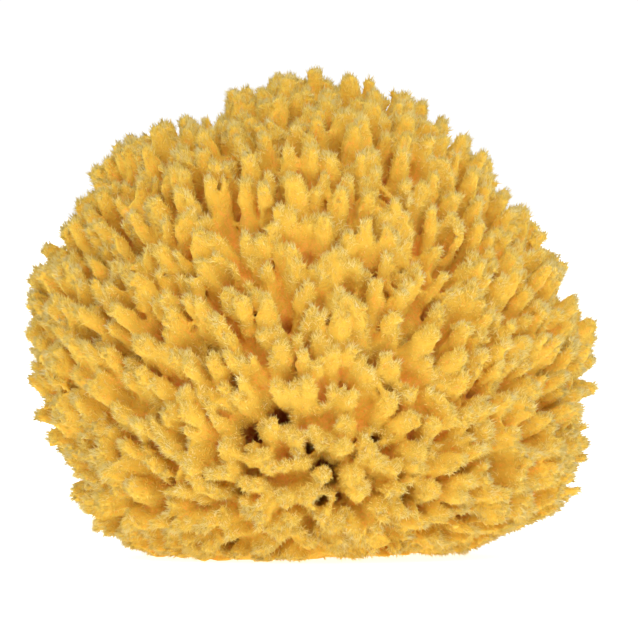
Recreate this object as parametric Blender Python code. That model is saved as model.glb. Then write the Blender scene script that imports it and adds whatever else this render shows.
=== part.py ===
"""A natural bath sponge of the wool type: a dome of tapered locks on a flat cut.

The sponge is one solid. Its locks radiate from a heart low inside it and bend
upwards, deep furrows part them, and pores open between them. Underneath it is
cut off flat where it grew, and it stands on that cut. Metres, +Z up, with the
origin at the middle of the cut and the photographed side facing -Y.

A direction from the heart is a row of three numbers of length one, and most
functions take many rows at once.
"""

import math

import bmesh
import bpy
import numpy as np
from mathutils import noise

MM = 0.001

# Overall size, from one lock tip to the other.
WIDTH = 160 * MM
DEPTH = 146 * MM
HEIGHT = 136 * MM

# The point that every lock grows away from, above the flat cut.
HEART = np.array((0.0, 0.0, 25 * MM))

# How far the lock tips reach from the heart, by the angle above the horizon,
# on the sponge's right side and on its fuller left side. The whole is brought
# to the overall size at the end, a matter of a few percent.
TIP_ANGLES = (-90, -45, -31, -22, -12, 0, 10, 20, 32, 45, 57, 66, 73, 80, 90)
RIGHT_TIPS_MM = (34, 36, 45, 53, 64, 75, 79, 83, 86, 91, 96, 99, 102, 105, 110)
LEFT_TIPS_MM = (34, 39, 48, 55, 62, 71, 79, 86, 93, 98, 103, 102, 100, 107, 110)

# How deep the furrows run between the locks, by the same angle.
FURROW_ANGLES = (-90, -45, -31, -20, 0, 30, 90)
FURROW_DEPTHS_MM = (0.5, 1, 5, 10, 17, 21, 20)

# Broad swellings and hollows of the dome: the angle round the sponge from +X,
# the angle above the horizon, how far it spreads in degrees, and its rise.
SWELLINGS_MM = (
    (-90, 68, 20, 3.0),
    (-60, 35, 24, 3.0),
    (-125, 30, 22, 2.5),
    (80, 40, 26, 4.0),
    (130, 15, 22, 3.5),
    (30, 20, 22, 3.0),
    (40, 62, 20, -4.0),
    (-150, 48, 14, -3.5),
    (100, 65, 18, -3.0),
)
CLUMP_RISE = 3.0 * MM
CLUMPS_ROUND = 4.5

# Locks stand this far apart at their tips, and wider apart under the sponge.
LOCK_SPACING = 7.0 * MM
UNDERSIDE_SPACING = 12 * MM
UNDERSIDE_ANGLE = -36
TRIES = 20000
SEED = 11

# A lock tapers to between these shares of its foot, leans this much of the way
# to its foot's rim, and is at least this share of the furrow's depth. The
# powers are those of the beta distribution that most locks' full height follows.
TIP_SHARES = (0.30, 0.52)
TIP_LEAN = 0.75
SHORTEST_LOCK = 0.62
SHORTNESS_POWERS = (1.2, 3.0)

# How far the lock tips bend upwards, and the height parts of the directions
# from the heart between which the bend sets in.
UPWARD_BEND = 5 * MM
BEND_SETS_IN = (-0.25, 0.25)

# Open pores on the photographed side: how far right, how high, how deep.
FRONT_PORES_MM = (
    (-14, 35, 16),
    (-11, 41, 14),
    (1, 27, 15),
    (-19, 19, 10),
    (11, 51, 12),
    (16, 33, 9),
    (-24, 55, 12),
    (-1, 58, 9),
    (-45, 50, 9),
    (-37, 40, 9),
    (27, 51, 10),
    (41, 22, 8),
    (-45, 72, 9),
    (10, 62, 8),
)
# Pores on the other sides: how many, how deep, and the least Y and Z parts of
# their directions from the heart. Every pore narrows to one share of its mouth.
OTHER_PORES = 18
OTHER_PORE_DEPTH = 10 * MM
OTHER_PORES_FROM = (-0.2, -0.1)
PORE_SHARE = 0.62

CUT_TOLERANCE = 0.02 * MM

SPONGE_GOLD = (0.77, 0.43, 0.06, 1.0)
SPONGE_ROUGHNESS = 0.95


def clear_scene():
    for obj in list(bpy.data.objects):
        bpy.data.objects.remove(obj)


def unit(rows):
    return rows / np.linalg.norm(rows, axis=-1, keepdims=True)


def degrees_above(ways):
    return np.degrees(np.arcsin(np.clip(ways[:, 2], -1, 1)))


def direction(around_deg, above_deg):
    around, above = math.radians(around_deg), math.radians(above_deg)
    flat = math.cos(above)
    return np.array((flat * math.cos(around), flat * math.sin(around), math.sin(above)))


def tip_reach(ways):
    """How far the lock tips reach from the heart in these directions."""
    above = degrees_above(ways)
    right = np.interp(above, TIP_ANGLES, RIGHT_TIPS_MM)
    left = np.interp(above, TIP_ANGLES, LEFT_TIPS_MM)
    flat = np.maximum(np.hypot(ways[:, 0], ways[:, 1]), 1e-9)
    rightness = (1 + ways[:, 0] / flat) / 2
    reach = right * rightness + left * (1 - rightness)
    reach *= 1 - (1 - DEPTH / WIDTH) * ways[:, 1] ** 2
    for around, height, spread, rise in SWELLINGS_MM:
        apart = np.degrees(np.arccos(np.clip(ways @ direction(around, height), -1, 1)))
        reach += rise * np.exp(-((apart / spread) ** 2))
    return reach * MM


def furrow_depth(ways):
    return np.interp(degrees_above(ways), FURROW_ANGLES, FURROW_DEPTHS_MM) * MM


def floor_reach(ways):
    return tip_reach(ways) - furrow_depth(ways)


def scattered_directions(rng):
    """Directions from the heart whose tips lie evenly but irregularly apart."""
    ways = unit(rng.normal(size=(TRIES, 3)))
    tips = HEART + ways * tip_reach(ways)[:, None]
    under = degrees_above(ways) < UNDERSIDE_ANGLE
    spacings = np.where(under, UNDERSIDE_SPACING, LOCK_SPACING)
    kept = np.zeros(TRIES, bool)
    for i in range(TRIES):
        apart = np.linalg.norm(tips[kept] - tips[i], axis=1)
        kept[i] = not (apart < spacings[i]).any()
    return ways[kept]


def net_of(ways):
    """A closed net of mostly four-sided cells, its corners on a unit sphere."""
    net = bmesh.new()
    for way in ways:
        net.verts.new(way)
    bmesh.ops.convex_hull(net, input=net.verts)
    bmesh.ops.join_triangles(
        net,
        faces=net.faces,
        angle_face_threshold=math.pi,
        angle_shape_threshold=math.pi,
    )
    bmesh.ops.recalc_face_normals(net, faces=net.faces)
    return net


def pore_depths(ways, rng):
    """The depth of the pore at each cell that is one, by the cell's number."""
    floor = HEART + ways * floor_reach(ways)[:, None]
    front = np.where(ways[:, 1] < 0, 0, 1)
    depths = {}
    for right_mm, high_mm, deep_mm in FRONT_PORES_MM:
        apart = np.hypot(floor[:, 0] - right_mm * MM, floor[:, 2] - high_mm * MM)
        depths[int((apart + front).argmin())] = deep_mm * MM
    elsewhere = np.flatnonzero((ways[:, 1:] > OTHER_PORES_FROM).all(axis=1))
    for i in rng.choice(elsewhere, OTHER_PORES, replace=False):
        depths.setdefault(int(i), OTHER_PORE_DEPTH)
    return depths


def lock_heights(ways, rng):
    """How much of the furrow's depth each lock fills, and clumps stand taller."""
    clumps = np.array([noise.noise(way * CLUMPS_ROUND) for way in ways])
    heights = 1 - (1 - SHORTEST_LOCK) * rng.beta(*SHORTNESS_POWERS, len(ways))
    return heights + clumps * CLUMP_RISE / furrow_depth(ways).clip(CLUMP_RISE)


def raise_locks(net, rng):
    """Draws a lock out of each cell above the underside, or a pore into it."""
    corners = list(net.verts)
    lowest = math.sin(math.radians(UNDERSIDE_ANGLE))
    growing = [face for face in net.faces if face.calc_center_median().z > lowest]
    caps = bmesh.ops.extrude_discrete_faces(net, faces=growing)["faces"]
    ways = unit(np.array([cap.calc_center_median() for cap in caps]))
    pores = pore_depths(ways, rng)
    floors = floor_reach(ways)
    reaches = floors + furrow_depth(ways) * lock_heights(ways, rng)
    for i, cap in enumerate(caps):
        foot = np.array([vert.co for vert in cap.verts])
        share = rng.uniform(*TIP_SHARES)
        aim = rng.dirichlet(np.ones(len(foot))) @ foot
        middle = ways[i] + (aim - ways[i]) * TIP_LEAN
        if i in pores:
            share, middle, reaches[i] = PORE_SHARE, ways[i], floors[i] - pores[i]
        rim = HEART + unit(middle * (1 - share) + foot * share) * reaches[i]
        for vert, place in zip(cap.verts, rim, strict=True):
            vert.co = place
    feet = unit(np.array([vert.co for vert in corners]))
    places = HEART + feet * floor_reach(feet)[:, None]
    for vert, place in zip(corners, places, strict=True):
        vert.co = place


def bend_upwards(net):
    """Bends what stands above the furrow floor upwards, most at the sides."""
    arms = np.array([vert.co for vert in net.verts]) - HEART
    ways = unit(arms)
    share = (np.linalg.norm(arms, axis=1) - floor_reach(ways)) / furrow_depth(ways)
    sideways = np.hypot(ways[:, 0], ways[:, 1])
    bends = np.interp(ways[:, 2], BEND_SETS_IN, (0, 1))
    rises = UPWARD_BEND * sideways * bends * share.clip(0)
    for vert, rise in zip(net.verts, rises, strict=True):
        vert.co.z += rise


def cut_flat(net):
    """Cuts the sponge off at the ground and closes the cut."""
    cut = bmesh.ops.bisect_plane(
        net,
        geom=net.verts[:] + net.edges[:] + net.faces[:],
        dist=CUT_TOLERANCE,
        plane_co=(0, 0, 0),
        plane_no=(0, 0, 1),
        clear_inner=True,
    )
    rim = [part for part in cut["geom_cut"] if isinstance(part, bmesh.types.BMEdge)]
    bmesh.ops.edgeloop_fill(net, edges=rim)


def fit_to_size(net):
    """Brings the sponge to its overall size, centred over the origin."""
    places = np.array([vert.co for vert in net.verts])
    low, high = places.min(axis=0), places.max(axis=0)
    middle = (low + high) / 2
    bmesh.ops.translate(net, verts=net.verts, vec=(-middle[0], -middle[1], -low[2]))
    growth = np.array((WIDTH, DEPTH, HEIGHT)) / (high - low)
    bmesh.ops.scale(net, verts=net.verts, vec=growth)


def sponge_material():
    material = bpy.data.materials.new("sponge")
    material.use_nodes = True
    shader = material.node_tree.nodes["Principled BSDF"]
    shader.inputs["Base Color"].default_value = SPONGE_GOLD
    shader.inputs["Roughness"].default_value = SPONGE_ROUGHNESS
    shader.inputs["Metallic"].default_value = 0.0
    return material


def build_sponge():
    rng = np.random.default_rng(SEED)
    net = net_of(scattered_directions(rng))
    raise_locks(net, rng)
    bend_upwards(net)
    cut_flat(net)
    fit_to_size(net)
    bmesh.ops.recalc_face_normals(net, faces=net.faces)
    mesh = bpy.data.meshes.new("sponge")
    net.to_mesh(mesh)
    net.free()
    mesh.materials.append(sponge_material())
    return bpy.data.objects.new("sponge", mesh)


def main():
    clear_scene()
    collection = bpy.data.collections.new("sea_sponge")
    bpy.context.scene.collection.children.link(collection)
    collection.objects.link(build_sponge())


main()
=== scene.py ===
"""The look of a natural bath sponge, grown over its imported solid. Metres.

Each lock and pore of the solid is found again in the frame's mesh. The body is
drawn around them as a distance field, below zero inside: a core up to the
furrows' floor, a fan of fused fingers in every lock, webs and shoots between
the locks, and open pores. The field becomes one closed mesh, and fine fibres
are set all over it.
"""

import math

import bmesh
import bpy
import numpy as np
import openvdb
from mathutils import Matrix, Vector
from mathutils.kdtree import KDTree


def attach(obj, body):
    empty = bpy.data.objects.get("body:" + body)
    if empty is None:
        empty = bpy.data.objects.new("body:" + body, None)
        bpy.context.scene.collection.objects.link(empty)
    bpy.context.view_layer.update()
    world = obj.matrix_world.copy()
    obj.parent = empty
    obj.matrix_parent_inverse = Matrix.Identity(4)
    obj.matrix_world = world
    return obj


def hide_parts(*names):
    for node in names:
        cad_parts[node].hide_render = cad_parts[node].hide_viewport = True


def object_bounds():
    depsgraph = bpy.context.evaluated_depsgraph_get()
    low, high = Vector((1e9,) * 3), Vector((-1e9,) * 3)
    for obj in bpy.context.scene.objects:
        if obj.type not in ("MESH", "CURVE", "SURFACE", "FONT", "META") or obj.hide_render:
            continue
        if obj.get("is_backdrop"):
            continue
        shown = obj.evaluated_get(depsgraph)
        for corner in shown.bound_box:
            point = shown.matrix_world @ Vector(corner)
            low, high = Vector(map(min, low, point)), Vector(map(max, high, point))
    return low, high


MM = 0.001
FRAME_NODE = "sponge"
SEED = 5
UP = np.array((0.0, 0.0, 1.0))

# The point inside the sponge that its locks grow away from.
HEART = np.array((0.0, 0.0, 25 * MM))

# The field's grid. Its margin holds what stands proud of the solid.
VOXEL = 0.62 * MM
MARGIN = 4 * MM

# The triangles of the body, and how many fibres there are. A fibre has four.
BODY_TRIANGLES = 198000
FIBRES = 196000

# The map that baked colours are laid out on has this many cells each way, and
# these are the corners of a fibre's sides and of its root in a cell.
UV_CELLS = 64
UV_SIDE = ((0.1, 0.3), (0.9, 0.3), (0.5, 0.95))
UV_ROOT = ((0.1, 0.05), (0.9, 0.05), (0.5, 0.22))


def unit(rows):
    return rows / np.maximum(np.linalg.norm(rows, axis=-1, keepdims=True), 1e-12)


# The solid's locks

# Corners of the solid that are no further apart than this are one.
SAME_PLACE = 0.001 * MM

# A cap faces away from the heart at least this much and lies above the cut. It has
# at most this many corners, and between these many around its foot.
CAP_FACES_OUT = 0.75
ABOVE_CUT = 0.5 * MM
CAP_CORNERS = 6
FOOT_CORNERS = (3, 8)

# A lock's cap is at least this much further from the heart than its foot, and a
# pore's end this much nearer.
LOCK_RISE = 1.5 * MM
PORE_SINK = 3 * MM

# How far each known point of the furrows' floor and of the tips counts, in degrees.
FLOOR_SPREAD = 5
TIP_SPREAD = 7


def merged_mesh(obj):
    """The solid's corners, each once, and its triangles as corner numbers."""
    mesh = obj.data
    places = vertex_rows(mesh, "co")
    corners = np.empty(len(mesh.loops), np.int32)
    mesh.loops.foreach_get("vertex_index", corners)
    rounded = np.round(places / SAME_PLACE)
    _, first, number = np.unique(rounded, axis=0, return_index=True, return_inverse=True)
    return places[first].astype(float), number.reshape(-1)[corners].reshape(-1, 3)


def find_locks(points, triangles):
    """The rim and the foot of each lock and pore, as two lists of corner numbers.

    A lock ends in a cap of one or two triangles that face away from the heart.
    The corners around the cap are its rim, and their other neighbours its foot.
    """
    corners = points[triangles]
    faces = unit(np.cross(corners[:, 1] - corners[:, 0], corners[:, 2] - corners[:, 0]))
    middles = corners.mean(axis=1)
    outward = unit(middles - HEART)
    caps = ((faces * outward).sum(axis=1) > CAP_FACES_OUT) & (middles[:, 2] > ABOVE_CUT)
    neighbours = {}
    for a, b, c in triangles:
        for one, others in ((a, (b, c)), (b, (a, c)), (c, (a, b))):
            neighbours.setdefault(one, set()).update(others)
    rim_of = {}
    for triangle in triangles[caps]:
        rim = set(triangle).union(*(rim_of.get(corner, ()) for corner in triangle))
        for corner in rim:
            rim_of[corner] = rim
    rims, feet = [], []
    for rim in {id(rim): rim for rim in rim_of.values()}.values():
        foot = set().union(*(neighbours[corner] for corner in rim)) - rim
        if len(rim) <= CAP_CORNERS and FOOT_CORNERS[0] <= len(foot) <= FOOT_CORNERS[1]:
            rims.append(sorted(rim))
            feet.append(sorted(foot))
    return rims, feet


class Growth:
    """The locks and pores of the solid, and its floor and tips by direction."""

    def __init__(self, obj):
        points, triangles = merged_mesh(obj)
        rims, feet = find_locks(points, triangles)
        tops = np.array([points[rim].mean(axis=0) for rim in rims])
        roots = np.array([points[foot].mean(axis=0) for foot in feet])
        rise = np.linalg.norm(tops - HEART, axis=1) - np.linalg.norm(roots - HEART, axis=1)
        locks = np.flatnonzero(rise > LOCK_RISE)
        self.tops, self.roots = tops[locks], roots[locks]
        pores = np.flatnonzero(rise < -PORE_SINK)
        self.pore_ends, self.pore_mouths = tops[pores], roots[pores]
        self.floor_points = points[sorted(set().union(*feet))]
        self.pairs = self.touching([feet[i] for i in locks])

    @staticmethod
    def touching(feet):
        """The pairs of locks whose feet share an edge of the furrows' floor."""
        at_corner = {}
        for i, foot in enumerate(feet):
            for corner in foot:
                at_corner.setdefault(corner, []).append(i)
        shared = {}
        for locks in at_corner.values():
            for a in locks:
                for b in locks:
                    if a < b:
                        shared[a, b] = shared.get((a, b), 0) + 1
        return sorted(pair for pair, corners in shared.items() if corners >= 2)


class ReachTable:
    """A smooth reach from the heart for any direction, from scattered points."""

    AROUND, ABOVE = 180, 90

    # A trace of weight for far points, where no point is near.
    FAR_WEIGHT = 1e-12
    NEAREST = 0.01

    def __init__(self, points, spread_deg):
        arms = points - HEART
        reaches = np.linalg.norm(arms, axis=1)
        around = np.linspace(-math.pi, math.pi, self.AROUND + 1)
        above = np.linspace(-math.pi / 2, math.pi / 2, self.ABOVE + 1)
        around, above = np.meshgrid(around, above, indexing="ij")
        flat = np.cos(above)
        ways = np.stack([flat * np.cos(around), flat * np.sin(around), np.sin(above)], -1)
        apart = np.arccos(np.clip(ways @ unit(arms).T, -1, 1))
        nearness = np.exp(-((apart / math.radians(spread_deg)) ** 2))
        nearness = nearness + self.FAR_WEIGHT / (apart + self.NEAREST) ** 4
        self.table = (nearness @ reaches) / nearness.sum(axis=-1)

    def __call__(self, places):
        arms = places - HEART
        around = np.arctan2(arms[..., 1], arms[..., 0])
        above = np.arctan2(arms[..., 2], np.hypot(arms[..., 0], arms[..., 1]))
        u = (around + math.pi) / (2 * math.pi) * self.AROUND
        v = (above + math.pi / 2) / math.pi * self.ABOVE
        i = np.clip(u.astype(int), 0, self.AROUND - 1)
        j = np.clip(v.astype(int), 0, self.ABOVE - 1)
        s, t = u - i, v - j
        low = self.table[i, j] * (1 - s) + self.table[i + 1, j] * s
        high = self.table[i, j + 1] * (1 - s) + self.table[i + 1, j + 1] * s
        return low * (1 - t) + high * t


def eased(share):
    return share * share * (3 - 2 * share)


def read_grid(values, steps, ease=None):
    """The values at places between the grid's own, given in steps of the grid."""
    low = np.clip(np.floor(steps).astype(int), 0, np.array(values.shape) - 2)
    share = np.clip(steps - low, 0, 1)
    share = ease(share) if ease else share
    total = np.zeros(len(steps))
    for corner in np.ndindex(2, 2, 2):
        near = np.where(corner, share, 1 - share).prod(axis=1)
        i, j, k = (low + corner).T
        total += near * values[i, j, k]
    return total


class NoiseBox:
    """Smooth noise between -1 and 1, with bumps about as wide as the step."""

    def __init__(self, low, high, step, rng):
        self.low, self.step = low, step
        counts = np.ceil((high - low) / step).astype(int) + 2
        self.values = rng.uniform(-1, 1, counts)

    def __call__(self, places):
        return read_grid(self.values, (places - self.low) / self.step, eased)


# The distance field


def stretch_matrix(fine, coarse):
    """The weights that read a row of coarse values at each of the fine places."""
    place = np.linspace(0, coarse - 1, fine)
    low = np.minimum(place.astype(int), coarse - 2)
    share = eased(place - low)
    weights = np.zeros((fine, coarse), np.float32)
    weights[np.arange(fine), low] = 1 - share
    weights[np.arange(fine), low + 1] = share
    return weights


def stretched(coarse, shape):
    """A coarse grid of values read smoothly on a grid of the given shape."""
    x, y, z = (stretch_matrix(n, m) for n, m in zip(shape, coarse.shape, strict=True))
    values = np.tensordot(x, coarse.astype(np.float32), (1, 0))
    return np.tensordot(np.tensordot(values, y, (1, 1)), z, (1, 1))


class Field:
    """Distances on a grid that covers the sponge, below zero inside it."""

    def __init__(self, low, high):
        self.low = low
        self.shape = tuple(int(n) for n in np.ceil((high - low) / VOXEL) + 1)
        self.values = None

    def axis_places(self, axis):
        return self.low[axis] + np.arange(self.shape[axis]) * VOXEL

    def coarse_counts(self, step):
        return [max(4, int(n * VOXEL / step)) for n in self.shape]

    def coarse_places(self, step):
        """The places of a coarser grid that spans the same box."""
        counts = self.coarse_counts(step)
        ends = [self.low[i] + (self.shape[i] - 1) * VOXEL for i in range(3)]
        rows = [np.linspace(self.low[i], ends[i], counts[i]) for i in range(3)]
        return np.stack(np.meshgrid(*rows, indexing="ij"), -1)

    def noise(self, step, rng):
        """Smooth noise between -1 and 1 with bumps about as wide as the step."""
        return stretched(rng.uniform(-1, 1, self.coarse_counts(step)), self.shape)

    def box_around(self, ends, reach):
        low = np.floor((ends.min(axis=0) - reach - self.low) / VOXEL).astype(int)
        high = np.ceil((ends.max(axis=0) + reach - self.low) / VOXEL).astype(int) + 1
        low = np.clip(low, 0, self.shape)
        high = np.clip(high, 0, self.shape)
        return tuple(slice(a, b) for a, b in zip(low, high, strict=True))

    def cone_distances(self, box, start, end, start_radius, end_radius):
        """Distances to a round-ended cone, on the part of the grid in the box."""
        x, y, z = (
            (self.low[i] + np.arange(box[i].start, box[i].stop) * VOXEL - start[i]).astype(np.float32)
            for i in range(3)
        )
        run = end - start
        length2 = max(float(run @ run), 1e-12)
        along = (x * run[0] / length2)[:, None, None] + (y * run[1] / length2)[None, :, None]
        along = np.clip(along + (z * run[2] / length2)[None, None, :], 0, 1)
        dx = x[:, None, None] - along * run[0]
        dy = y[None, :, None] - along * run[1]
        dz = z[None, None, :] - along * run[2]
        reach = np.sqrt(dx * dx + dy * dy + dz * dz)
        return reach - (start_radius + along * (end_radius - start_radius))

    def add_cone(self, start, end, start_radius, end_radius, blend, sign=1):
        """Joins a round-ended cone to the body with a fillet of about the blend.

        With the sign turned it joins the cone to the space around the body.
        """
        reach = max(start_radius, end_radius) + blend + VOXEL
        box = self.box_around(np.array((start, end)), reach)
        if min(s.stop - s.start for s in box) < 1:
            return
        cone = self.cone_distances(box, start, end, start_radius, end_radius)
        here = self.values[box] * sign
        meet = np.maximum(blend - np.abs(here - cone), 0) / blend
        self.values[box] = (np.minimum(here, cone) - meet * meet * blend / 4) * sign

    def carve_cone(self, *cone):
        """Hollows a round-ended cone out of the body, with a soft rim."""
        self.add_cone(*cone, sign=-1)

    def read(self, values, places):
        return read_grid(values, (places - self.low) / VOXEL)


# The body

# The fingers of a lock stand this far apart at its foot, and wider at its tip.
FINGER_GAP = 2.3 * MM
FINGER_BLEND = 1.5 * MM
WEB_BLEND = 2.0 * MM
WEB_CHANCE = 0.46
SHOOT_CHANCE = 0.3
PIT_CHANCE = 0.05
NUB_BLEND = 0.6 * MM

# A place halfway up that is further than this from every lock gets a shoot.
BARE_SPOT = 5.0 * MM
BARE_TRIES = 5000

# Below this height part of its direction from the heart, a lock is a ragged lobe.
LOBES_BELOW = 0.42

# The lobes around the cut stand in rows at these angles below the horizon.
SKIRT_ANGLES = (-33, -27, -21)
SKIRT_LOBES = 54
SKIRT_BLEND = 1.6 * MM
SKIRT_TURN = 0.4
SKIRT_STRAY_DEG = 3
SKIRT_ROOT_MM = 3
SKIRT_REACH_MM = (0.5, 4.0)
SKIRT_ROOTS_MM = (1.9, 2.8)
SKIRT_ENDS_MM = (1.0, 1.7)

# The rim of the cut stands off the ground in places, as wide as this and as high.
# Past the cut's half width and half depth it rises by this much a whole one.
RIM_WAVE = 9 * MM
RIM_RISE = 3 * MM
CUT_HALF = (43 * MM, 39 * MM)
RIM_SLOPE = 18 * MM
RIM_FROM = 22 * MM
RIM_OVER = 8 * MM
# From here to the right the whole cut rises by this much a metre.
CUT_LEVEL_TO = -25 * MM
CUT_TILT = 0.03

# The canals in the cut: how many, how far from its middle, and how wide.
CUT_PORES = 70
CUT_PORES_AWAY_MM = (7, 40)
CUT_PORES_WIDE_MM = (0.7, 1.9)
CUT_PORE_BLEND = 0.6 * MM

# How wide a pore is, as a share of the usual, by its depth in millimetres.
PORE_WIDTHS = (8, 16), (0.9, 1.6)

# How far short of the solid's lock a finger ends, by the height part of its way.
PULL_HEIGHTS = (-0.45, -0.17, 0.0, 0.15, 0.3, 0.5, 0.69, 0.78, 0.87, 0.96, 0.985, 1.0)
LEFT_PULLS_MM = (-1.6, -3.6, 0.8, 0.4, 0.2, 0.3, 2.8, 0.3, 0.6, 2.4, 1.0, 3.4)
RIGHT_PULLS_MM = (-2.4, -5.4, -3.4, 0.6, -0.4, 0.3, 2.0, 0.5, -1.0, 1.0, 1.8, 2.6)

# Lumps all over the body, as widths and heights, and ridges on them.
LUMPS_MM = ((3.2, 0.4), (1.5, 0.22))
RIDGE_WIDTH = 2.0 * MM
RIDGE_HEIGHT_MM = 0.42

# The space that ridges and streaks are drawn in: directions on a ball of this
# size, drawn out this much along the way from the heart.
GRAIN_BALL_MM = 75
GRAIN_STRETCH = 0.15

# How much of the furrows' depth the core fills, and how much that varies.
CORE_LIFT = 0.2
CORE_ROUGHNESS = 1.6 * MM
CORE_LUMPS = 7 * MM
CORE_STEP = 2.5 * MM

# A finger is three cones that meet at these shares of its length. Its radii there
# are these shares of its thickness.
FINGER_SHARES = (0.0, 0.4, 0.74, 0.95)
FINGER_RADII = (1.45, 1.25, 1.08, 0.88)

# A finger's nubs: the least and one past the most, where they stand along it, how
# far out and how far forward they reach, and the radii of their ends.
NUB_COUNTS = (3, 6)
NUB_PLACES = (0.5, 0.95)
NUB_ROOT_OUT = 0.35
NUB_ROOT_RADIUS = 0.5
NUB_OUTS = (0.3, 0.9)
NUB_FORWARD_MM = (0.6, 1.8)
NUB_ENDS_MM = (0.5, 0.7)

# Fingers and shoots are rooted this deep below the furrows' floor, and knees and
# tips stray this far.
ROOT_DEPTH_MM = 1.5
KNEE_STRAY_MM = 0.8
TIP_STRAY_MM = 1.2

# A lock has these many fingers, with these chances, low down and higher up.
FINGER_COUNTS = (1, 2, 3, 4)
LOW_CHANCES = (0.15, 0.35, 0.35, 0.15)
HIGH_CHANCES = (0.4, 0.42, 0.18, 0)

# How a lock's fan is turned, low down between two angles and higher up by chance.
LOW_TURNS = (-1.5, 1.5)
HIGH_TURN = 0.75

# A lock's fingers: how thick they are alone and fused, how far they bow and sway
# across the fan and out of its plane, and how they differ from one another.
LONE_THICK_MM = (1.8, 2.4)
FUSED_THICK_MM = (1.4, 1.9)
BOW_MM = 1.6
BOW_UP = 0.08
SWAY_ACROSS_MM = 1.8
SWAY_OUT_MM = 1.5
MOST_PULL_MORE = 1.2
LESSER_REACHES = (0.72, 0.98)
TIPS_ASIDE = (1.1, 1.75)
TIP_OUT_MM = 0.7
THICKNESSES = (0.8, 1.15)

# A web climbs to between these shares of its locks, low down and higher up, in
# steps this long, and is this thin.
LOW_WEB_LIMITS = (0.45, 0.88)
HIGH_WEB_LIMITS = (0.35, 0.8)
WEB_STEP = 0.15
WEB_START = 0.1
WEB_SLANTS = (0.85, 1.15)
WEB_THIN_MM = (0.85, 1.25)

# Shoots: the shares of their neighbours' height, and how thick they are.
SHOOT_SHARES = (0.4, 0.82)
SHOOT_THICK_MM = (0.95, 1.4)
BARE_SHARES = (0.65, 0.95)
BARE_THICK_MM = (1.3, 1.9)
BARE_LIFT_MM = 2
BARE_ABOVE = -0.3
BARE_PORE_REACH_MM = 6

# Pits: how deep below the floor they start, how far they reach, and their radii.
PIT_DEPTHS_MM = (2, 4.5)
PIT_REACH_MM = 15
PIT_ENDS_MM = (1.1, 1.7)
PIT_MOUTHS_MM = (1.7, 2.6)
PIT_BLEND = 0.8 * MM


def grow_core(field, floor, tips, rng):
    """Everything below the furrows' uneven floor."""
    places = field.coarse_places(CORE_STEP)
    low = floor(places)
    level = low + (tips(places) - low) * CORE_LIFT
    core = np.linalg.norm(places - HEART, axis=-1) - level
    field.values = stretched(core, field.shape)
    field.values += field.noise(CORE_LUMPS, rng) * CORE_ROUGHNESS


def bent(root, tip, rng):
    """The knee of a strand from the root to the tip."""
    return (root + tip) / 2 + rng.normal(size=3) * KNEE_STRAY_MM * MM


class Finger:
    """A bent strand from the furrows' floor to a blunt, ragged tip."""

    def __init__(self, root, knee, tip, thick):
        self.root, self.knee, self.tip, self.thick = root, knee, tip, thick

    def place(self, share):
        ends = self.root * (1 - share) ** 2 + self.tip * share**2
        return ends + self.knee * 2 * share * (1 - share)

    def way(self):
        return unit(self.tip - self.place(0.75))

    def grow(self, field, rng):
        radii = self.thick * np.array(FINGER_RADII)
        for i in range(3):
            ends = self.place(FINGER_SHARES[i]), self.place(FINGER_SHARES[i + 1])
            field.add_cone(*ends, radii[i], radii[i + 1], FINGER_BLEND)
        way = self.way()
        for _ in range(rng.integers(*NUB_COUNTS)):
            out = rng.normal(size=3)
            out = unit(out - way * (out @ way))
            share = rng.uniform(*NUB_PLACES)
            base = self.place(share) + out * self.thick * NUB_ROOT_OUT
            end = base + out * rng.uniform(*NUB_OUTS) * self.thick
            end = end + way * rng.uniform(*NUB_FORWARD_MM) * MM
            end_radius = rng.uniform(*NUB_ENDS_MM) * MM
            field.add_cone(base, end, self.thick * NUB_ROOT_RADIUS, end_radius, NUB_BLEND)


class Lock:
    """A fan of fingers that are fused side by side for most of their length."""

    def __init__(self, root, top, rng):
        self.radial = unit(root - HEART)
        self.root, self.top = root, top
        self.height = np.linalg.norm(top - root)
        low = self.radial[2] < LOBES_BELOW
        level = unit(np.cross(UP, self.radial) + np.array((1e-6, 0, 0)))
        turn = rng.uniform(*LOW_TURNS) if low else rng.normal() * HIGH_TURN
        other = np.cross(self.radial, level)
        self.across = level * math.cos(turn) + other * math.sin(turn)
        flat = unit(np.cross(self.radial, self.across))
        bow = flat * rng.normal() * BOW_MM * MM + self.radial * self.height * BOW_UP
        count = rng.choice(FINGER_COUNTS, p=LOW_CHANCES if low else HIGH_CHANCES)
        tallest = rng.integers(count)
        thick = rng.uniform(*(LONE_THICK_MM if count == 1 else FUSED_THICK_MM)) * MM
        sway = self.across * rng.normal() * SWAY_ACROSS_MM * MM + flat * rng.normal() * SWAY_OUT_MM * MM
        rightness = (1 + self.radial[0] / max(np.hypot(*self.radial[:2]), 1e-9)) / 2
        left = np.interp(self.radial[2], PULL_HEIGHTS, LEFT_PULLS_MM)
        right = np.interp(self.radial[2], PULL_HEIGHTS, RIGHT_PULLS_MM)
        pull = left + (right - left) * rightness + rng.uniform(0, MOST_PULL_MORE)
        self.fingers = []
        for i in range(count):
            aside = self.across * (i - (count - 1) / 2) * FINGER_GAP
            reach = 1.0 if i == tallest else rng.uniform(*LESSER_REACHES)
            foot = root - self.radial * ROOT_DEPTH_MM * MM + aside * 0.5
            tip = root + (top - root) * reach - self.radial * pull * MM
            tip = tip + aside * rng.uniform(*TIPS_ASIDE) + sway + flat * rng.normal() * TIP_OUT_MM * MM
            knee = (foot + tip) / 2 + bow + aside * 0.25
            self.fingers.append(Finger(foot, knee, tip, thick * rng.uniform(*THICKNESSES)))

    def place(self, share):
        return self.fingers[len(self.fingers) // 2].place(share)


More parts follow.
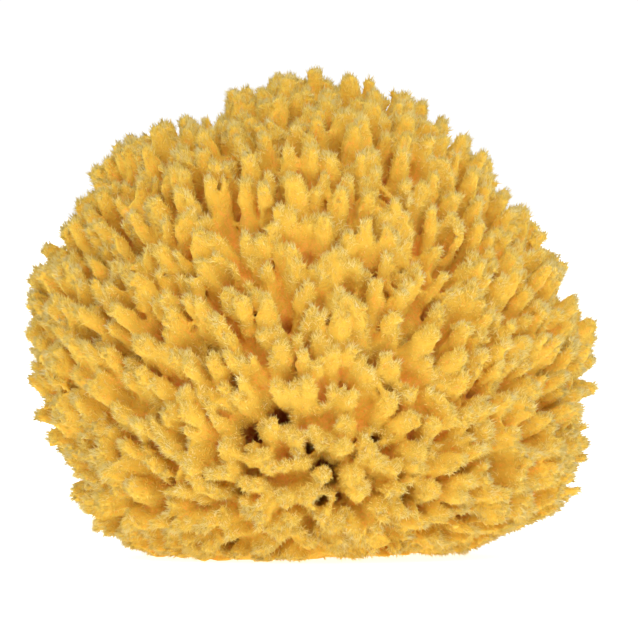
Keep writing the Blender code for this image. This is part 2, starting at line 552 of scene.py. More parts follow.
def grow_web(field, one, other, rng):
    """A sheet that joins two locks up to part of their height."""
    low = min(one.radial[2], other.radial[2]) < LOBES_BELOW
    limit = rng.uniform(*(LOW_WEB_LIMITS if low else HIGH_WEB_LIMITS))
    for share in np.arange(WEB_START, limit, WEB_STEP):
        ends = one.place(share), other.place(share * rng.uniform(*WEB_SLANTS))
        thin = rng.uniform(*WEB_THIN_MM) * MM
        field.add_cone(*ends, thin, thin, WEB_BLEND)


def shoot_between(one, other, rng):
    """A short finger that stands between two locks."""
    middle = (one.root + other.root) / 2
    share = rng.uniform(*SHOOT_SHARES)
    top = middle + ((one.top - one.root) + (other.top - other.root)) / 2 * share
    top = top + rng.normal(size=3) * TIP_STRAY_MM * MM
    knee = bent(middle, top, rng)
    root = middle - one.radial * ROOT_DEPTH_MM * MM
    return Finger(root, knee, top, rng.uniform(*SHOOT_THICK_MM) * MM)


def carve_pit(field, one, other, rng):
    """An open pocket between two locks, down into the core."""
    middle = (one.root + other.root) / 2
    foot = middle - one.radial * rng.uniform(*PIT_DEPTHS_MM) * MM
    top = middle + one.radial * PIT_REACH_MM * MM
    end_radius = rng.uniform(*PIT_ENDS_MM) * MM
    field.carve_cone(foot, top, end_radius, rng.uniform(*PIT_MOUTHS_MM) * MM, PIT_BLEND)


def fill_bare_spots(locks, pores, floor, tips, rng):
    """Shoots wherever no lock or pore is near."""
    ways = unit(rng.normal(size=(BARE_TRIES, 3)))
    ways = ways[ways[:, 2] > BARE_ABOVE]
    low, high = floor(HEART + ways), tips(HEART + ways)
    taken = [finger.place(0.5) for lock in locks for finger in lock.fingers]
    taken += [pore.mouth + pore.out * BARE_PORE_REACH_MM * MM for pore in pores]
    shoots = []
    for way, foot, top in zip(ways, low, high, strict=True):
        middle = HEART + way * (foot + top) / 2
        if np.linalg.norm(np.array(taken) - middle, axis=1).min() < BARE_SPOT:
            continue
        root = HEART + way * (foot - ROOT_DEPTH_MM * MM)
        tip = HEART + way * (foot + (top - foot) * rng.uniform(*BARE_SHARES))
        tip = tip + rng.normal(size=3) * TIP_STRAY_MM * MM + UP * BARE_LIFT_MM * MM
        knee = bent(root, tip, rng)
        shoots.append(Finger(root, knee, tip, rng.uniform(*BARE_THICK_MM) * MM))
        taken.append(shoots[-1].place(0.5))
    return shoots


class Pore:
    """A dark hole between the locks, half covered by the ragged edges around it."""

    # The hole in the core: its radii at its end and mouth, and its reach past it.
    CORE_RADII_MM = (1.8, 3.3)
    CORE_REACH_MM = 5
    CORE_BLEND = 1.5 * MM

    # The fingers around it: the least and one past the most, and how they stand.
    EDGE_COUNTS = (4, 7)
    EDGE_TURN = 0.25
    EDGE_AWAY_MM = (3.2, 4.2)
    EDGE_ROOT_MM = 2.5
    EDGE_REACH_MM = (5, 11)
    EDGE_LEAN_MM = (-1.8, 1.0)
    EDGE_THICK_MM = (1.1, 1.7)

    # The slit that stays open through them.
    SLIT_REACH_MM = 8
    SLIT_ASIDE_MM = (0.5, 1.3)
    SLIT_RADII_MM = (1.1, 1.6)
    SLIT_BLEND = 0.7 * MM

    def __init__(self, end, mouth, rng):
        self.end, self.mouth = end, mouth
        self.wide = np.interp(np.linalg.norm(mouth - end) / MM, *PORE_WIDTHS)
        self.out = unit(mouth - HEART)
        side = rng.normal(size=3)
        self.side = unit(side - self.out * (side @ self.out))

    def around(self, turn):
        return self.side * math.cos(turn) + np.cross(self.out, self.side) * math.sin(turn)

    def open_core(self, field):
        top = self.mouth + self.out * self.CORE_REACH_MM * MM
        radii = (radius * MM * self.wide for radius in self.CORE_RADII_MM)
        field.carve_cone(self.end, top, *radii, self.CORE_BLEND)

    def edges(self, rng):
        """Stubby fingers around the mouth, some leaning over it."""
        count = rng.integers(*self.EDGE_COUNTS)
        fingers = []
        for i in range(count):
            turn = rng.uniform(-self.EDGE_TURN, self.EDGE_TURN)
            way = self.around(2 * math.pi * (i + turn) / count)
            root = self.mouth + way * rng.uniform(*self.EDGE_AWAY_MM) * self.wide * MM
            root = root - self.out * self.EDGE_ROOT_MM * MM
            tip = root + self.out * rng.uniform(*self.EDGE_REACH_MM) * MM
            tip = tip + way * rng.uniform(*self.EDGE_LEAN_MM) * MM
            knee = bent(root, tip, rng)
            fingers.append(Finger(root, knee, tip, rng.uniform(*self.EDGE_THICK_MM) * MM))
        return fingers

    def clear(self, field, rng):
        """Keeps a slit open down to the hole's end."""
        top = self.mouth + self.out * self.SLIT_REACH_MM * MM
        for aside in (-1, 1):
            shift = self.side * aside * rng.uniform(*self.SLIT_ASIDE_MM) * self.wide * MM
            radii = rng.uniform(*self.SLIT_RADII_MM, 2) * self.wide * MM
            field.carve_cone(self.end + shift * 0.5, top + shift, *radii, self.SLIT_BLEND)


def grow_skirt(field, floor, rng):
    """The low lobes of felt that hang around the flat cut."""
    for above in SKIRT_ANGLES:
        strays = rng.uniform(-SKIRT_TURN, SKIRT_TURN, SKIRT_LOBES)
        turns = 2 * math.pi * (np.arange(SKIRT_LOBES) + strays) / SKIRT_LOBES
        for turn in turns:
            angle = math.radians(above + rng.uniform(-SKIRT_STRAY_DEG, SKIRT_STRAY_DEG))
            flat = math.cos(angle)
            way = np.array((flat * math.cos(turn), flat * math.sin(turn), math.sin(angle)))
            reach = float(floor(HEART + way * 50 * MM))
            start = HEART + way * (reach - SKIRT_ROOT_MM * MM)
            end = HEART + way * (reach + rng.uniform(*SKIRT_REACH_MM) * MM)
            end = end + rng.normal(size=3) * KNEE_STRAY_MM * MM
            root_radius = rng.uniform(*SKIRT_ROOTS_MM) * MM
            field.add_cone(start, end, root_radius, rng.uniform(*SKIRT_ENDS_MM) * MM, SKIRT_BLEND)


def carve_cut(field, rng):
    """The canals that open in the flat cut underneath, away from its middle."""
    for _ in range(CUT_PORES):
        around = rng.uniform(0, 2 * math.pi)
        away = rng.uniform(*CUT_PORES_AWAY_MM) * MM
        foot = np.array((math.cos(around) * away, math.sin(around) * away * 0.8, -1 * MM))
        lean = np.array((*rng.normal(size=2) * 0.6, 3.0)) * MM * rng.uniform(0.8, 2)
        wide = rng.uniform(*CUT_PORES_WIDE_MM) * MM
        field.carve_cone(foot, foot + lean, wide, wide * 0.6, CUT_PORE_BLEND)


def cut_ground(field, rng):
    """Cuts the sponge off at the ground, and a little higher here and there at its rim."""
    x, y = np.meshgrid(field.axis_places(0), field.axis_places(1), indexing="ij")
    away = np.hypot(x, y).ravel()
    corner = np.full(3, 90 * MM)
    bumps = NoiseBox(-corner, corner, RIM_WAVE, rng)
    wave = bumps(np.stack((x.ravel(), y.ravel(), np.zeros(x.size)), axis=1)).clip(0, 1)
    rise = wave * RIM_RISE * np.clip((away - RIM_FROM) / RIM_OVER, 0, 1)
    past = np.hypot(x / CUT_HALF[0], y / CUT_HALF[1]).ravel() - 1
    rise = rise + past.clip(0) * RIM_SLOPE + (x.ravel() - CUT_LEVEL_TO).clip(0) * CUT_TILT
    ground = rise.reshape(x.shape)[:, :, None] - field.axis_places(2)[None, None, :]
    field.values = np.maximum(field.values, ground.astype(np.float32))


def grain_of(arms):
    """Where the grain of a place is read, so that it runs outward as fibres do."""
    return unit(arms) * GRAIN_BALL_MM * MM + arms * GRAIN_STRETCH


def roughen(field, rng):
    """Lumps, and fine ridges that run outward from the heart as fibres do."""
    for width, height in LUMPS_MM:
        field.values += field.noise(width * MM, rng) * height * MM
    near = np.nonzero(np.abs(field.values) < 1.0 * MM)
    arms = np.stack(near, axis=1) * VOXEL + field.low - HEART
    corner = np.full(3, 80 * MM)
    ridges = NoiseBox(-corner, corner, RIDGE_WIDTH, rng)
    field.values[near] += (ridges(grain_of(arms)) * RIDGE_HEIGHT_MM * MM).astype(np.float32)


def grow_field(growth, floor, tips, low, high, rng):
    """The whole sponge as a field, with the fingers that reach out of it."""
    field = Field(low, high)
    grow_core(field, floor, tips, rng)
    grow_skirt(field, floor, rng)
    pores = [Pore(*ends, rng) for ends in zip(growth.pore_ends, growth.pore_mouths, strict=True)]
    for pore in pores:
        pore.open_core(field)
    locks = [Lock(root, top, rng) for root, top in zip(growth.roots, growth.tops, strict=True)]
    fingers = [finger for lock in locks for finger in lock.fingers]
    pits = []
    for a, b in growth.pairs:
        chance = rng.random()
        if chance < WEB_CHANCE:
            grow_web(field, locks[a], locks[b], rng)
        elif chance < WEB_CHANCE + SHOOT_CHANCE:
            fingers.append(shoot_between(locks[a], locks[b], rng))
        elif chance > 1 - PIT_CHANCE:
            pits.append((locks[a], locks[b]))
    fingers += fill_bare_spots(locks, pores, floor, tips, rng)
    for pore in pores:
        fingers += pore.edges(rng)
    for finger in fingers:
        finger.grow(field, rng)
    for pore in pores:
        pore.clear(field, rng)
    for pit in pits:
        carve_pit(field, *pit, rng)
    carve_cut(field, rng)
    roughen(field, rng)
    cut_ground(field, rng)
    return field, fingers


def polygons_of(field):
    """The surface where the field is zero: its places and its four-sided faces."""
    band = 3 * VOXEL
    grid = openvdb.FloatGrid(band)
    grid.copyFromArray(np.clip(field.values, -band, band))
    points, _, quads = grid.convertToPolygons(0.0)
    places = points.astype(float) * VOXEL + field.low
    return places, quads


def mesh_from(name, places, faces):
    sides = faces.shape[1]
    mesh = bpy.data.meshes.new(name)
    mesh.vertices.add(len(places))
    mesh.vertices.foreach_set("co", np.ascontiguousarray(places, np.float32).ravel())
    mesh.loops.add(faces.size)
    mesh.loops.foreach_set("vertex_index", np.ascontiguousarray(faces, np.int32).ravel())
    mesh.polygons.add(len(faces))
    mesh.polygons.foreach_set("loop_start", np.arange(0, faces.size, sides, dtype=np.int32))
    mesh.update(calc_edges=True)
    obj = bpy.data.objects.new(name, mesh)
    bpy.context.scene.collection.objects.link(obj)
    return obj


def apply_modifiers(obj):
    """Makes the object's evaluated mesh its own."""
    graph = bpy.context.evaluated_depsgraph_get()
    mesh = bpy.data.meshes.new_from_object(obj.evaluated_get(graph))
    obj.modifiers.clear()
    old = obj.data
    obj.data = mesh
    bpy.data.meshes.remove(old)


def keep_largest_island(obj):
    """Drops the loose crumbs that noise and pores cut off the body."""
    net = bmesh.new()
    net.from_mesh(obj.data)
    net.verts.ensure_lookup_table()
    seen = np.zeros(len(net.verts), bool)
    islands = []
    for start in net.verts:
        if seen[start.index]:
            continue
        seen[start.index] = True
        island, edge = [start], [start]
        while edge:
            vert = edge.pop()
            for link in vert.link_edges:
                other = link.other_vert(vert)
                if not seen[other.index]:
                    seen[other.index] = True
                    island.append(other)
                    edge.append(other)
        islands.append(island)
    islands.sort(key=len, reverse=True)
    crumbs = [vert for island in islands[1:] for vert in island]
    bmesh.ops.delete(net, geom=crumbs, context="VERTS")
    bmesh.ops.triangulate(net, faces=net.faces)
    if net.calc_volume(signed=True) < 0:
        bmesh.ops.reverse_faces(net, faces=net.faces)
    net.to_mesh(obj.data)
    net.free()


def make_body(field):
    places, quads = polygons_of(field)
    body = mesh_from("sponge_body", places, quads)
    thin = body.modifiers.new("thin", "DECIMATE")
    thin.ratio = BODY_TRIANGLES / (2 * len(quads))
    apply_modifiers(body)
    keep_largest_island(body)
    body.data.shade_smooth()
    return body


# What the materials and fibres read: how deep, closed in and near a tip a place is. Depth
# and closeness also darken the colour as painted shade.


class Surroundings:
    """What lies around a place on the body."""

    # The depth of a deep furrow, and the deepest that is told apart from it.
    SUNK_OVER = 20 * MM
    SUNKEST = 1.6

    # How far a finger's tip counts, how wide the space around a place is that may
    # be filled, and how far outside the place its middle is.
    TIP_LENGTH = 2.8 * MM
    CLOSE_REACH = 3.2 * MM
    CLOSE_OUT_MM = 1.2

    def __init__(self, field, tips, fingers):
        self.field, self.tips = field, tips
        # How filled the space around each place is; it paints shade into the colour.
        solid = (field.values < 0).astype(np.float32)
        for axis in range(3):
            solid = self.blurred(solid, axis, int(self.CLOSE_REACH / VOXEL))
        self.solid = solid
        self.ends = KDTree(len(fingers))
        for i, finger in enumerate(fingers):
            self.ends.insert(finger.tip, i)
        self.ends.balance()
        self.ways = np.array([finger.way() for finger in fingers])

    @staticmethod
    def blurred(values, axis, reach):
        """The mean of the values up to the reach to both sides along one axis."""
        total = np.cumsum(values, axis=axis, dtype=np.float32)
        pad = [(0, 0)] * 3
        pad[axis] = (reach + 1, reach)
        total = np.pad(total, pad, mode="edge")
        n = values.shape[axis]
        high = np.take(total, range(2 * reach + 1, 2 * reach + 1 + n), axis=axis)
        low = np.take(total, range(n), axis=axis)
        start = [slice(None)] * 3
        start[axis] = slice(0, reach + 1)
        low[tuple(start)] = 0
        return (high - low) / (2 * reach + 1)

    def sunk(self, places):
        """How far below the lock tips a place lies, as a share of a deep furrow."""
        reach = np.linalg.norm(places - HEART, axis=1)
        return np.clip((self.tips(places) - reach) / self.SUNK_OVER, 0, self.SUNKEST)

    def closeness(self, places, faces):
        """How much of the space just outside a place is filled with sponge."""
        return self.field.read(self.solid, places + faces * self.CLOSE_OUT_MM * MM)

    def tipness(self, places):
        """How near the closest finger tip is, and which way that finger points."""
        found = [self.ends.find(place) for place in places]
        numbers = np.array([number for _, number, _ in found])
        apart = np.array([distance for _, _, distance in found])
        return np.exp(-((apart / self.TIP_LENGTH) ** 2)), self.ways[numbers]


def set_values(mesh, name, values, kind="FLOAT", key="value"):
    layer = mesh.attributes.new(name, kind, "POINT")
    layer.data.foreach_set(key, np.ascontiguousarray(values, np.float32).ravel())


def vertex_rows(mesh, key):
    rows = np.empty(len(mesh.vertices) * 3, np.float32)
    mesh.vertices.foreach_get(key, rows)
    return rows.reshape(-1, 3)


class Skin:
    """The body's surface: its places, normals and what lies around them."""

    def __init__(self, mesh, around):
        corners = np.empty(len(mesh.polygons) * 3, np.int32)
        mesh.polygons.foreach_get("vertices", corners)
        self.corners = corners.reshape(-1, 3)
        self.places = vertex_rows(mesh, "co").astype(float)
        self.normals = vertex_rows(mesh, "normal").astype(float)
        self.sunk = around.sunk(self.places)
        self.close = around.closeness(self.places, self.normals)
        self.tip, self.ways = around.tipness(self.places)

    def scattered(self, count, wish, rng):
        """Spots spread over the surface by area and wish: triangles and shares."""
        a, b, c = (self.places[self.corners[:, i]] for i in range(3))
        area = np.linalg.norm(np.cross(b - a, c - a), axis=1)
        weight = area * wish[self.corners].mean(axis=1)
        pick = rng.choice(len(area), count, p=weight / weight.sum())
        s, t = rng.random((2, count))
        over = s + t > 1
        s[over], t[over] = 1 - s[over], 1 - t[over]
        return self.corners[pick], np.stack([1 - s - t, s, t], axis=1)

    @staticmethod
    def at(values, spots):
        corners, shares = spots
        if values.ndim == 2:
            shares = shares[:, :, None]
        return (values[corners] * shares).sum(axis=1)


# Fibres

# The fibres lean together in tufts about this wide.
TUFT_WIDTH = 0.9 * MM

# Fibres are wished for everywhere, more at tips, and less in furrows and where the
# space is filled. None grow in the cut.
WISH, WISH_TIP, WISH_SUNK = 0.18, 1.6, 0.15
WISH_OPEN, WISH_CLOSE, LEAST_WISH = 1.25, 1.5, 0.15
CUT_BAND = 0.3 * MM

# A fibre follows the skin's normal and, more so at a tip, its finger's way.
LEAN, LEAN_TIP = 0.45, 0.45
TUFT_JITTER, FIBRE_JITTER = 0.8, 0.25
LENGTHS_MM = (0.8, 1.5)
LONGER_AT_TIPS = (0.2, 0.9)
WIDTHS_MM = (0.25, 0.4)
FIBRE_ROOT_MM = 0.15

# Fibres keep off the ground: their roots, their ends, and the way of those that
# would reach it.
LOWEST_ROOT = 0.2 * MM
LOWEST_END = 0.1 * MM
LEVEL_WAY = 0.05

# How the tone varies by tuft and by fibre, and its limits.
TUFT_TONE, FIBRE_TONE = 0.16, 0.05
TONE_LIMITS = (0.25, 0.86)

# Shading normals are mixed of the skin's, the way outward and the fibre's jitter.
SHADE_SKIN, SHADE_OUT, SHADE_JITTER = 0.5, 0.55, 0.22

# How much paler a fibre's end is than its root, and more so at a finger's tip.
END, END_TIP = 0.35, 0.65


def spikes(name, roots, ways, lengths, widths, normals, rng):
    """Thin three-sided spikes as one mesh, each closed and shaded by the given normal."""
    count = len(roots)
    side = unit(np.cross(ways, rng.normal(size=(count, 3))))
    other = np.cross(ways, side)
    turns = rng.uniform(0, 2 * math.pi, count)
    places = np.empty((count, 4, 3))
    for i in range(3):
        turn = (turns + i * 2 * math.pi / 3)[:, None]
        places[:, i] = roots + (side * np.cos(turn) + other * np.sin(turn)) * widths[:, None] / 2
    places[:, 3] = roots + ways * lengths[:, None]
    pattern = np.array(((0, 1, 3), (1, 2, 3), (2, 0, 3), (2, 1, 0)))
    faces = (np.arange(count)[:, None, None] * 4 + pattern).reshape(-1, 3)
    obj = mesh_from(name, places.reshape(-1, 3), faces)
    obj.data.shade_smooth()
    obj.data.normals_split_custom_set_from_vertices(np.repeat(normals, 4, axis=0))
    return obj


def cells_of(tones, tips):
    """The cell of each fibre in a square of cells: its row by tone, its column by tip."""
    count = len(tones)
    ranks = np.empty(count, int)
    ranks[np.argsort(tones, kind="stable")] = np.arange(count)
    rows = ranks * UV_CELLS // count
    order = np.lexsort((tips, rows))
    ranks[order] = np.arange(count)
    firsts = np.searchsorted(rows[order], rows)
    columns = (ranks - firsts) * UV_CELLS // np.bincount(rows)[rows]
    return np.stack((columns, rows), axis=1)


def lay_out(piece, cells):
    """A map for baked colours on which fibres of one colour share a small cell."""
    corners = np.array((UV_SIDE, UV_SIDE, UV_SIDE, UV_ROOT)).reshape(-1, 2)
    places = (cells[:, None] + corners) / UV_CELLS
    layer = piece.data.uv_layers.new(name="OFBake")
    layer.data.foreach_set("uv", places.astype(np.float32).ravel())


def make_fibres(skin, rng):
    """Four pieces of fibres, one for each quarter of the sponge."""
    wish = WISH + WISH_TIP * skin.tip - WISH_SUNK * np.clip(skin.sunk, 0, 1)
    wish *= np.clip(WISH_OPEN - skin.close * WISH_CLOSE, LEAST_WISH, 1)
    wish[skin.places[:, 2] < CUT_BAND] = 0
    spots = skin.scattered(FIBRES, wish, rng)
    roots = skin.at(skin.places, spots)
    normals = unit(skin.at(skin.normals, spots))
    tip = skin.at(skin.tip, spots)
    along = unit(skin.at(skin.ways, spots))
    corner = np.full(3, np.abs(skin.places).max() + TUFT_WIDTH)
    tufts = [NoiseBox(-corner, corner, TUFT_WIDTH, rng)(roots) for _ in range(4)]
    outward = unit(roots - HEART)
    jitter = np.stack(tufts[:3], axis=1) * TUFT_JITTER + rng.normal(size=(FIBRES, 3)) * FIBRE_JITTER
    lean = (LEAN + LEAN_TIP * tip)[:, None]
    ways = unit(normals * (1.1 - lean) + along * lean + jitter)
    lengths = rng.uniform(*LENGTHS_MM, FIBRES) * (1 + tip * rng.uniform(*LONGER_AT_TIPS, FIBRES)) * MM
    widths = rng.uniform(*WIDTHS_MM, FIBRES) * MM
    # The fibres take the same painted shade of furrows, pores and closed-in places as the skin.
    tones = tone_of(skin.at(skin.sunk, spots), skin.at(skin.close, spots), tip)
    tones += tufts[3] * TUFT_TONE + rng.normal(size=FIBRES) * FIBRE_TONE
    tones = np.clip(tones, *TONE_LIMITS)
    shade = unit(normals * SHADE_SKIN + outward * SHADE_OUT + jitter * SHADE_JITTER)
    low = roots - normals * FIBRE_ROOT_MM * MM
    low[:, 2] = np.maximum(low[:, 2], LOWEST_ROOT)
    ends = low[:, 2] + ways[:, 2] * lengths
    ways[ends < LOWEST_END, 2] = LEVEL_WAY
    ways = unit(ways)
    quarters = (roots[:, 0] > 0).astype(int) + 2 * (roots[:, 1] > 0)
    names = ("front_left", "front_right", "back_left", "back_right")
    pieces = []
    for quarter, name in enumerate(names):
        mine = np.flatnonzero(quarters == quarter)[: FIBRES // 4]
        values = (array[mine] for array in (low, ways, lengths, widths, shade))
        piece = spikes("fibres_" + name, *values, rng)
        lay_out(piece, cells_of(tones[mine], tip[mine]))
        set_values(piece.data, "tone", np.repeat(tones[mine], 4))
        set_values(piece.data, "end", (END + END_TIP * tip[mine])[:, None] * (0, 0, 0, 1))
        pieces.append(piece)
    return pieces


# Materials

# From a pore's dark end to a pale tip: the tone at which each colour stands alone. The
# low, darker and redder colours are reached through the painted shade of furrows, pores
# and closed-in places. The fibres' colours are lighter than the skin's, partly for their
# paler colour and partly as painted light that makes up for the shade on the thin fibres.
TONES = (0.0, 0.2, 0.4, 0.56, 0.74, 0.9, 1.0)
SKIN_COLOURS = (
    (0.52, 0.135, 0.065),
    (0.82, 0.295, 0.080),
    (0.90, 0.455, 0.080),
    (0.76, 0.465, 0.060),
    (0.74, 0.480, 0.078),
    (0.77, 0.570, 0.180),
    (0.84, 0.660, 0.300),
)
FIBRE_COLOURS = (
    (0.42, 0.120, 0.030),
    (0.72, 0.300, 0.052),
    (0.89, 0.490, 0.058),
    (0.92, 0.580, 0.076),
    (0.94, 0.665, 0.150),
    (0.97, 0.755, 0.300),
    (0.98, 0.820, 0.430),
)

# How far red, green and blue light travel inside the fibre, against each other.
SCATTER_RADIUS = (1.0, 1.0, 1.0)
SCATTER_SCALE = 1.0 * MM

# Noise in the skin's tone: scale, detail and roughness, and its share. The specks in the
# tone are painted tiny shadows among the hairs; the same noise also makes the felt's bumps.
PATCHES, PATCH_SHARE = (170, 3, 0.5), 0.25
STREAKS, STREAK_SHARE = (700, 3, 0.6), 0.55
SPECKS, HAIR_SHADE_SPECK_SHARE = (1500, 2, 0.6), 0.50

SKIN_TONE = -0.04
SKIN_ROUGHNESS = 0.95
FIBRE_ROUGHNESS = 0.9
FELT_SPECULAR = 0.04
FIBRE_END_TONE = 0.2
BUMP_STRENGTH = 0.8
BUMP_DISTANCE = 0.6 * MM


# The usual tone, and how furrows, pores, closed-in places and tips change it. The darkening
# in furrows and closed-in places is painted shade, with the warm light bounced between the
# folds, and partly the fibres' darker colour there; a pore's dark end is painted shade. A
# furrow or a pore sets in at a depth and counts fully past a further one.
USUAL_TONE = 0.60
DEEP_PAINTED_SHADE, DEEP_FROM, DEEP_OVER = 0.08, 0.35, 0.55
PORE_PAINTED_SHADE, PORE_FROM, PORE_OVER = 0.26, 1.05, 0.25
CLOSE_PAINTED_SHADE, CLOSE_FROM = 0.25, 0.4
TIP_TONE = 0.14


def tone_of(sunk, close, tip):
    """Where a place lies on the way from a pore's dark end, 0, to a pale tip, 1. Furrows, pores and
    closed-in space lower it as painted shade.
    """
    # The deep, pore and closed terms are painted shade.
    deep = np.clip((sunk - DEEP_FROM) / DEEP_OVER, 0, 1)
    pore = np.clip((sunk - PORE_FROM) / PORE_OVER, 0, 1)
    closed = np.maximum(close - CLOSE_FROM, 0)
    return USUAL_TONE - DEEP_PAINTED_SHADE * deep - PORE_PAINTED_SHADE * pore - CLOSE_PAINTED_SHADE * closed + TIP_TONE * tip


def new_material(name):
    material = bpy.data.materials.new(name)
    material.use_nodes = True
    return material, material.node_tree.nodes, material.node_tree.links


def add_maths(material, kind, a, b):
    """A maths node on two values, each a number or a socket."""
    node = material.node_tree.nodes.new("ShaderNodeMath")
    node.operation = kind
    for socket, value in zip(node.inputs, (a, b), strict=False):
        if isinstance(value, (int, float)):
            socket.default_value = value
        else:
            material.node_tree.links.new(value, socket)
    return node.outputs[0]


def add_attribute(nodes, name, output):
    node = nodes.new("ShaderNodeAttribute")
    node.attribute_name = name
    return node.outputs[output]


def add_noise(material, place, scale, detail, roughness):
    node = material.node_tree.nodes.new("ShaderNodeTexNoise")
    node.inputs["Scale"].default_value = scale
    node.inputs["Detail"].default_value = detail
    node.inputs["Roughness"].default_value = roughness
    material.node_tree.links.new(place, node.inputs["Vector"])
    return node.outputs["Fac"]


def add_colours(material, tone, colours):
    """The colour for each tone, from its pores to the tips of its fibres."""
    node = material.node_tree.nodes.new("ShaderNodeValToRGB")
    elements = node.color_ramp.elements
    while len(elements) < len(TONES):
        elements.new(0.5)
    for element, place, colour in zip(elements, TONES, colours, strict=True):
        element.position = place
        element.color = (*colour, 1)
    material.node_tree.links.new(tone, node.inputs["Fac"])
    return node.outputs["Color"]


def body_material():
    material, nodes, links = new_material("sponge_body")
    shader = nodes["Principled BSDF"]
    place = nodes.new("ShaderNodeTexCoord").outputs["Object"]
    grain = add_attribute(nodes, "grain", "Vector")
    # The tone attribute holds the painted shade of furrows, pores and closed-in places.
    tone = add_maths(material, "ADD", add_attribute(nodes, "tone", "Fac"), SKIN_TONE)
    patches = add_noise(material, place, *PATCHES)
    streaks = add_noise(material, grain, *STREAKS)
    specks = add_noise(material, place, *SPECKS)
    # The specks' swing in tone is painted tiny shadows among the hairs.
    for noise, share in ((patches, PATCH_SHARE), (streaks, STREAK_SHARE), (specks, HAIR_SHADE_SPECK_SHARE)):
        swing = add_maths(material, "MULTIPLY", add_maths(material, "SUBTRACT", noise, 0.5), share)
        tone = add_maths(material, "ADD", tone, swing)
    links.new(add_colours(material, tone, SKIN_COLOURS), shader.inputs["Base Color"])
    shader.inputs["Roughness"].default_value = SKIN_ROUGHNESS
    shader.inputs["Specular IOR Level"].default_value = FELT_SPECULAR
    shader.inputs["Subsurface Weight"].default_value = 1.0
    shader.inputs["Subsurface Radius"].default_value = SCATTER_RADIUS
    shader.inputs["Subsurface Scale"].default_value = SCATTER_SCALE
    felt = add_maths(material, "ADD", specks, streaks)
    bump = nodes.new("ShaderNodeBump")
    bump.inputs["Strength"].default_value = BUMP_STRENGTH
    bump.inputs["Distance"].default_value = BUMP_DISTANCE
    links.new(felt, bump.inputs["Height"])
    links.new(bump.outputs["Normal"], shader.inputs["Normal"])
    return material


def fibre_material():
    material, nodes, links = new_material("sponge_fibre")
    shader = nodes["Principled BSDF"]
    tone = add_attribute(nodes, "tone", "Fac")
    end = add_attribute(nodes, "end", "Fac")
    tone = add_maths(material, "ADD", tone, add_maths(material, "MULTIPLY", end, FIBRE_END_TONE))
    links.new(add_colours(material, tone, FIBRE_COLOURS), shader.inputs["Base Color"])
    shader.inputs["Roughness"].default_value = FIBRE_ROUGHNESS
    shader.inputs["Specular IOR Level"].default_value = FELT_SPECULAR
    return material


# Camera, light and floor

PHOTO_WIDTH, PHOTO_HEIGHT = 639, 640
PHOTO_SCALE = 160 * MM / 581
PHOTO_CENTRE_X = 313
PHOTO_GROUND_Y = 563
CAMERA_DISTANCE = 2.5
CAMERA_ELEVATION = 1.0
SENSOR_WIDTH = 36

# How far in front of the sponge's middle the lower edge that the camera sees is.
FRONT_EDGE = 38 * MM


def set_camera():
    """Looks level with the photograph: the sponge's base and middle line match."""
    seen = PHOTO_WIDTH * PHOTO_SCALE
    across = (PHOTO_WIDTH / 2 - PHOTO_CENTRE_X) * PHOTO_SCALE
    up = (PHOTO_GROUND_Y - PHOTO_HEIGHT / 2) * PHOTO_SCALE
    tilt = math.radians(CAMERA_ELEVATION)
    height = up * (1 - FRONT_EDGE / CAMERA_DISTANCE) - FRONT_EDGE * math.sin(tilt)
    aim = Vector((across, 0, height / math.cos(tilt)))
    data = bpy.data.cameras.new("camera")
    data.sensor_width = SENSOR_WIDTH
    data.lens = SENSOR_WIDTH * CAMERA_DISTANCE / seen
    camera = bpy.data.objects.new("camera", data)
    camera.location = aim + CAMERA_DISTANCE * Vector((0, -math.cos(tilt), math.sin(tilt)))
    camera.rotation_euler = (math.pi / 2 - tilt, 0, 0)
    bpy.context.scene.collection.objects.link(camera)
    bpy.context.scene.camera = camera


# The studio: a soft even sky that looks white behind the sponge, a large key
# light in front of it, and a floor that glows enough to look white as well.
SKY_LIGHT = 1.0
SKY_SEEN = 1.05
FLOOR_GLOW = 0.8
KEY_PLACE = (0.3, -1.55, 0.82)
KEY_SIZE = 1.0
KEY_POWER = 9.5
KEY_AIM = (0, 0, 60 * MM)
FLOOR_SIZE = 30
FLOOR_GAP = 0.05 * MM


def add_light(name, place, size, power):
    data = bpy.data.lights.new(name, "AREA")
    data.shape = "DISK"
    data.size = size
    data.energy = power
    light = bpy.data.objects.new(name, data)
    light.location = place
    aim = Vector(KEY_AIM) - Vector(place)
    light.rotation_euler = aim.to_track_quat("-Z", "Y").to_euler()
    bpy.context.scene.collection.objects.link(light)


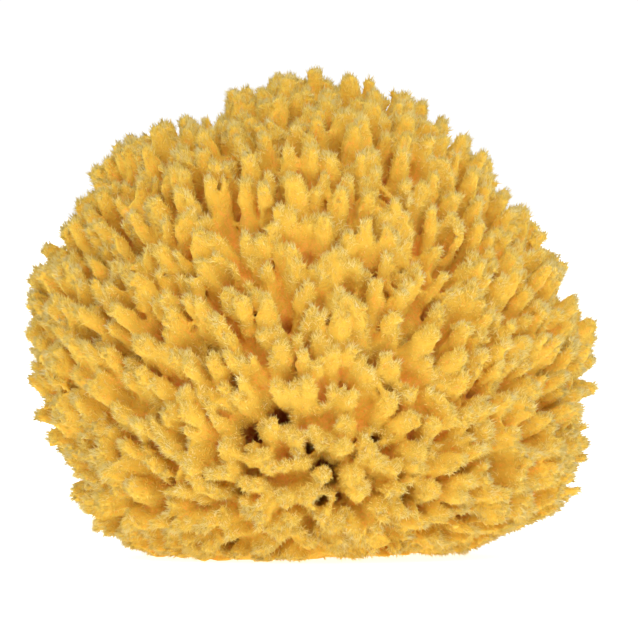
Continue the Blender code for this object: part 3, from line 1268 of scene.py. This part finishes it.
def set_stage():
    world = bpy.data.worlds.new("studio")
    world.use_nodes = True
    nodes, links = world.node_tree.nodes, world.node_tree.links
    sky = nodes["Background"]
    sky.inputs["Color"].default_value = (1, 1, 1, 1)
    seen = nodes.new("ShaderNodeLightPath").outputs["Is Camera Ray"]
    strength = nodes.new("ShaderNodeMapRange")
    strength.inputs["To Min"].default_value = SKY_LIGHT
    strength.inputs["To Max"].default_value = SKY_SEEN
    links.new(seen, strength.inputs["Value"])
    links.new(strength.outputs["Result"], sky.inputs["Strength"])
    bpy.context.scene.world = world
    bpy.context.scene.view_settings.view_transform = "Standard"
    add_light("key", KEY_PLACE, KEY_SIZE, KEY_POWER)
    bpy.ops.mesh.primitive_plane_add(size=FLOOR_SIZE, location=(0, 0, -FLOOR_GAP))
    floor = bpy.context.object
    floor.name = "floor"
    material, nodes, _ = new_material("floor")
    shader = nodes["Principled BSDF"]
    shader.inputs["Base Color"].default_value = (0.8, 0.8, 0.8, 1)
    shader.inputs["Roughness"].default_value = 1.0
    shader.inputs["Specular IOR Level"].default_value = 0.0
    shader.inputs["Emission Color"].default_value = (1, 1, 1, 1)
    shader.inputs["Emission Strength"].default_value = FLOOR_GLOW
    floor.data.materials.append(material)
    floor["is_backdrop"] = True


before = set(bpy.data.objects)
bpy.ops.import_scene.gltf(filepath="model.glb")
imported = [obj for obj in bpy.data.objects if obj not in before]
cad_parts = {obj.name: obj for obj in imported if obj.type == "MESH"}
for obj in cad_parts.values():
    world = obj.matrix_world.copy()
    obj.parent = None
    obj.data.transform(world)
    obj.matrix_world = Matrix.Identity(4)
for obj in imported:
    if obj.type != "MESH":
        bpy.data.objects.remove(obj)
cad_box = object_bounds()
set_camera()
set_stage()

rng = np.random.default_rng(SEED)
growth = Growth(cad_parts[FRAME_NODE])
floor_reach = ReachTable(growth.floor_points, FLOOR_SPREAD)
tip_reach = ReachTable(growth.tops, TIP_SPREAD)
box_low, box_high = (np.array(corner) for corner in cad_box)
sponge_field, fingers = grow_field(
    growth, floor_reach, tip_reach, box_low - MARGIN, box_high + MARGIN, rng
)
sponge_body = make_body(sponge_field)
skin = Skin(sponge_body.data, Surroundings(sponge_field, tip_reach, fingers))
arms = skin.places - HEART
# The skin's tone holds painted shade in furrows, pores and closed-in places.
set_values(sponge_body.data, "tone", tone_of(skin.sunk, skin.close, skin.tip))
set_values(sponge_body.data, "grain", grain_of(arms), "FLOAT_VECTOR", "vector")
sponge_body.data.materials.append(body_material())
fibres = make_fibres(skin, rng)
down = fibre_material()
for fibre in fibres:
    fibre.data.materials.append(down)

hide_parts(FRAME_NODE)
for piece in (sponge_body, *fibres):
    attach(piece, "root")

boxes = {"cad": cad_box, "visual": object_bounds()}
{name: [list(corner) for corner in box] for name, box in boxes.items()}
